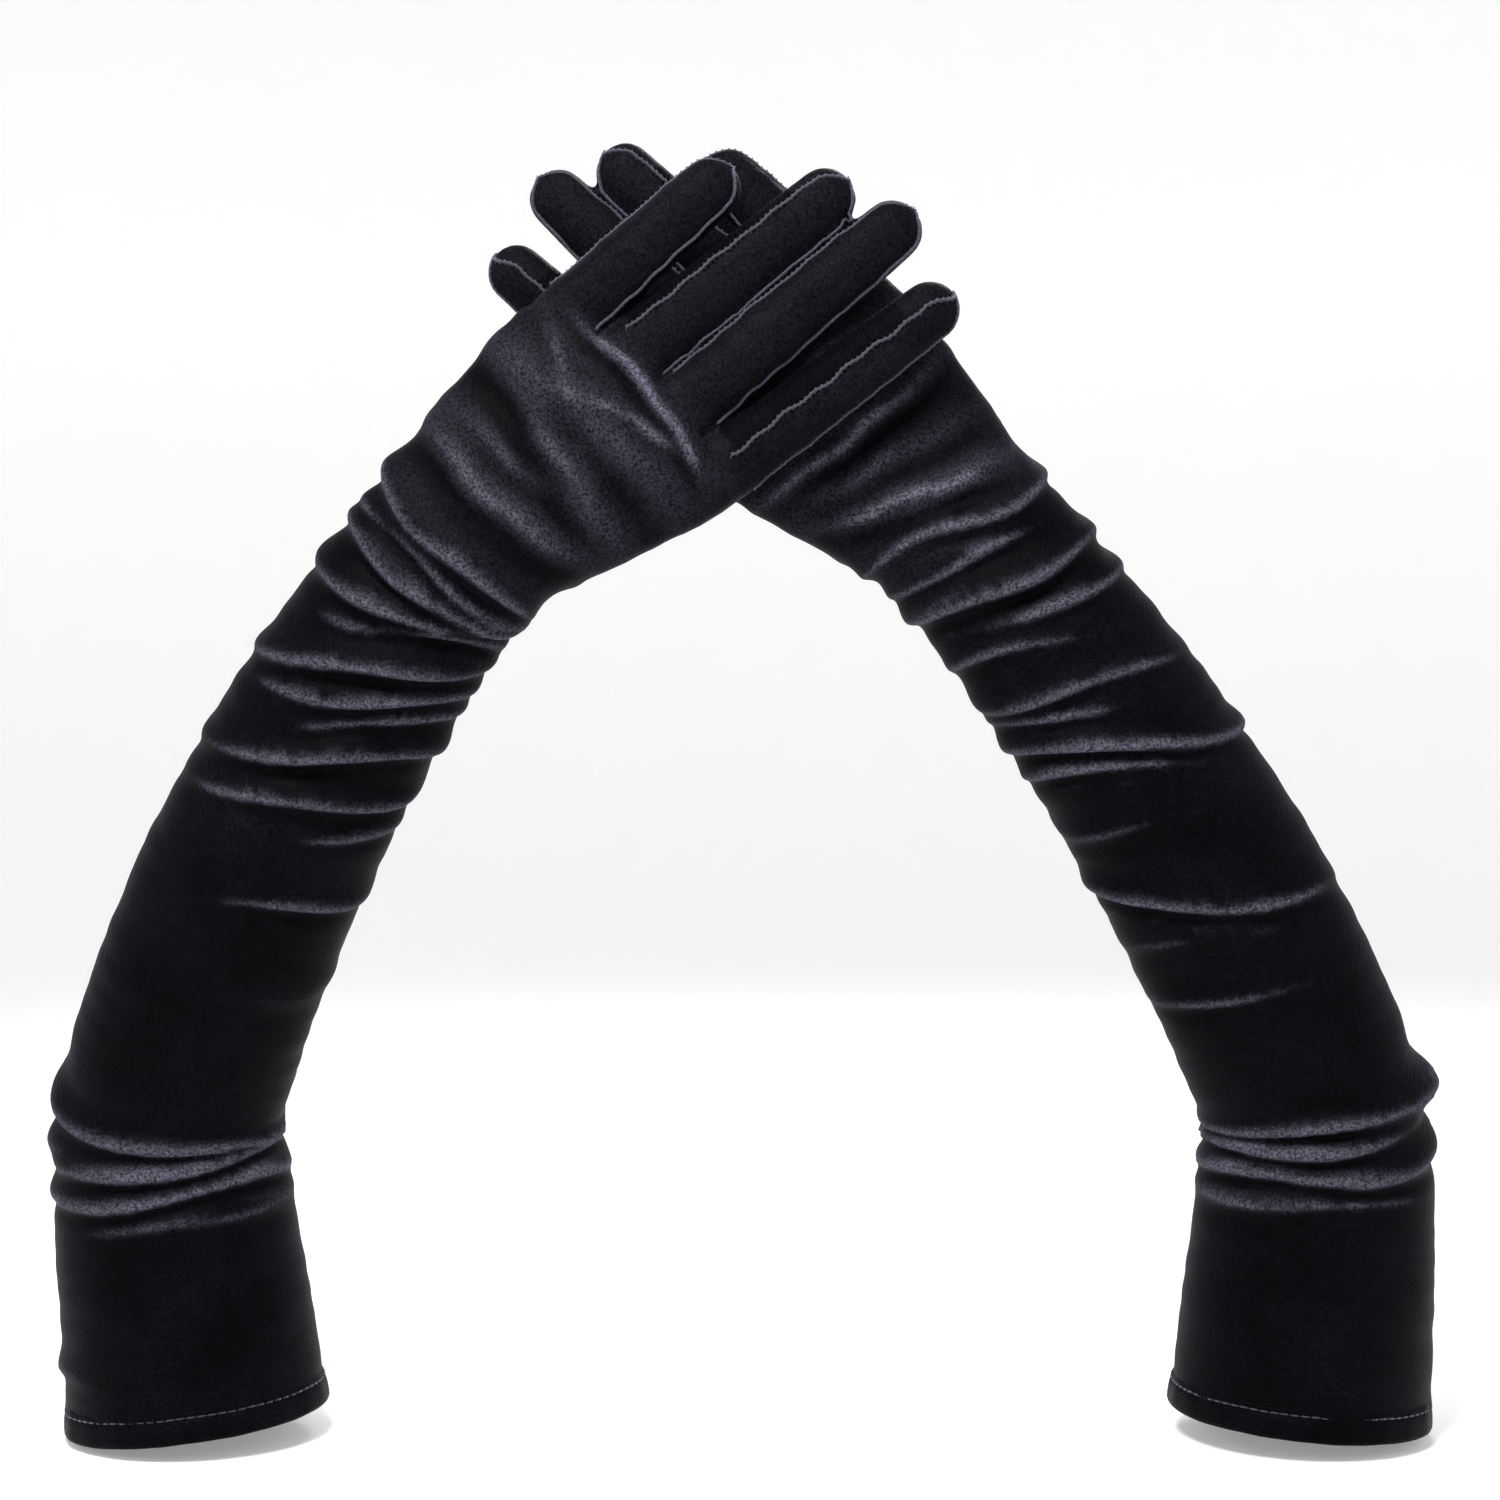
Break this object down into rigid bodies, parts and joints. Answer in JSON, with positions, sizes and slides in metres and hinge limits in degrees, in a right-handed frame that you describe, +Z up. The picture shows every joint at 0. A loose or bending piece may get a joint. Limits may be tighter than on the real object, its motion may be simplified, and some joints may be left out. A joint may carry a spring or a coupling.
{
  "type": "opera gloves",
  "caption": "Pair of long stretch-velvet gloves, hands crossed, that cover the fingers, hands, forearms and elbows of raised arms.",
  "frame": {"origin": "midway between the two cuffs, at their lowest level, where a stand for the two arms would stand", "axes": "+Z up along the raised arms, +X to the right of someone facing the crossed hands, +Y away from them"},
  "size_m": [0.4672, 0.1267, 0.4325],
  "materials": {
    "velvet": "black stretch velvet, short pile",
    "fourchette_cloth": "the same velvet cut across, ribs showing",
    "hem_cloth": "velvet turned up and stitched"
  },
  "bodies": {
    "left_upper": {"left_hem": "hem_cloth", "left_upper_sleeve": "velvet"},
    "left_forearm": {"left_forearm_sleeve": "velvet", "left_elbow_gathers": "velvet", "left_wrist_gathers": "velvet"},
    "left_thumb": {"left_thumb": "velvet"},
    "left_hand": {"left_trank": "velvet"},
    "left_little": {"left_little_finger": "velvet", "left_fourchette_little_ring_on_little": "fourchette_cloth"},
    "left_ring": {"left_ring_finger": "velvet", "left_fourchette_ring_middle_on_ring": "fourchette_cloth", "left_fourchette_little_ring_on_ring": "fourchette_cloth"},
    "left_middle": {"left_middle_finger": "velvet", "left_fourchette_middle_index_on_middle": "fourchette_cloth", "left_fourchette_ring_middle_on_middle": "fourchette_cloth"},
    "left_index": {"left_index_finger": "velvet", "left_fourchette_middle_index_on_index": "fourchette_cloth"},
    "right_upper": {"right_hem": "hem_cloth", "right_upper_sleeve": "velvet"},
    "right_forearm": {"right_forearm_sleeve": "velvet", "right_elbow_gathers": "velvet", "right_wrist_gathers": "velvet"},
    "right_thumb": {"right_thumb": "velvet"},
    "right_hand": {"right_trank": "velvet"},
    "right_little": {"right_little_finger": "velvet", "right_fourchette_little_ring_on_little": "fourchette_cloth"},
    "right_ring": {"right_ring_finger": "velvet", "right_fourchette_ring_middle_on_ring": "fourchette_cloth", "right_fourchette_little_ring_on_ring": "fourchette_cloth"},
    "right_middle": {"right_middle_finger": "velvet", "right_fourchette_middle_index_on_middle": "fourchette_cloth", "right_fourchette_ring_middle_on_middle": "fourchette_cloth"},
    "right_index": {"right_index_finger": "velvet", "right_fourchette_middle_index_on_index": "fourchette_cloth"}
  },
  "joints": [
    {"name": "gloves_apart", "type": "slide", "parent": "left_forearm", "child": "right_forearm", "axis": [0, 1, 0], "range_m": [0, 0.18]},
    {"name": "left_elbow_fold", "type": "hinge", "parent": "left_forearm", "child": "left_upper", "pos_m": [-0.18663, -0.00568, 0.10573], "axis": [-0.4273, -0.9029, -0.0472], "range_deg": [-38.4, 56.6], "deforming": ["left_elbow_gathers"]},
    {"name": "right_elbow_fold", "type": "hinge", "parent": "right_forearm", "child": "right_upper", "pos_m": [0.18071, -0.00259, 0.10645], "axis": [-0.1944, 0.9808, 0.0136], "range_deg": [-37.2, 57.8], "deforming": ["right_elbow_gathers"]},
    {"name": "left_wrist_fold", "type": "hinge", "parent": "left_forearm", "child": "left_hand", "pos_m": [-0.09006, -0.0617, 0.30313], "axis": [0.6561, 0, -0.7547], "range_deg": [0, 60], "deforming": ["left_wrist_gathers"]},
    {"name": "right_wrist_fold", "type": "hinge", "parent": "right_forearm", "child": "right_hand", "pos_m": [0.06525, -0.0283, 0.31055], "axis": [-0.7071, 0, -0.7071], "range_deg": [0, 55], "deforming": ["right_wrist_gathers"]},
    {"name": "left_little_fold", "type": "hinge", "parent": "left_hand", "child": "left_little", "pos_m": [-0.0573, -0.0617, 0.37069], "axis": [0.6561, 0, -0.7547], "range_deg": [0, 20]},
    {"name": "left_ring_fold", "type": "hinge", "parent": "left_hand", "child": "left_ring", "pos_m": [-0.0359, -0.0617, 0.35882], "axis": [0.6561, 0, -0.7547], "range_deg": [0, 20]},
    {"name": "left_middle_fold", "type": "hinge", "parent": "left_hand", "child": "left_middle", "pos_m": [-0.01904, -0.0617, 0.34301], "axis": [0.6561, 0, -0.7547], "range_deg": [0, 20]},
    {"name": "left_index_fold", "type": "hinge", "parent": "left_hand", "child": "left_index", "pos_m": [-0.00671, -0.0617, 0.32325], "axis": [0.6561, 0, -0.7547], "range_deg": [0, 20]},
    {"name": "left_thumb_swing", "type": "hinge", "parent": "left_hand", "child": "left_thumb", "pos_m": [-0.05154, -0.0527, 0.3015], "axis": [0, 1, 0], "range_deg": [0, 45]},
    {"name": "right_little_fold", "type": "hinge", "parent": "right_hand", "child": "right_little", "pos_m": [0.03728, -0.0283, 0.38024], "axis": [-0.7071, 0, -0.7071], "range_deg": [0, 60]},
    {"name": "right_ring_fold", "type": "hinge", "parent": "right_hand", "child": "right_ring", "pos_m": [0.0151, -0.0283, 0.36989], "axis": [-0.7071, 0, -0.7071], "range_deg": [0, 60]},
    {"name": "right_middle_fold", "type": "hinge", "parent": "right_hand", "child": "right_middle", "pos_m": [-0.00282, -0.0283, 0.35529], "axis": [-0.7071, 0, -0.7071], "range_deg": [0, 60]},
    {"name": "right_index_fold", "type": "hinge", "parent": "right_hand", "child": "right_index", "pos_m": [-0.0165, -0.0283, 0.33644], "axis": [-0.7071, 0, -0.7071], "range_deg": [0, 60]},
    {"name": "right_thumb_swing", "type": "hinge", "parent": "right_hand", "child": "right_thumb", "pos_m": [0.02671, -0.0193, 0.31161], "axis": [0, -1, 0], "range_deg": [0, 45]}
  ]
}
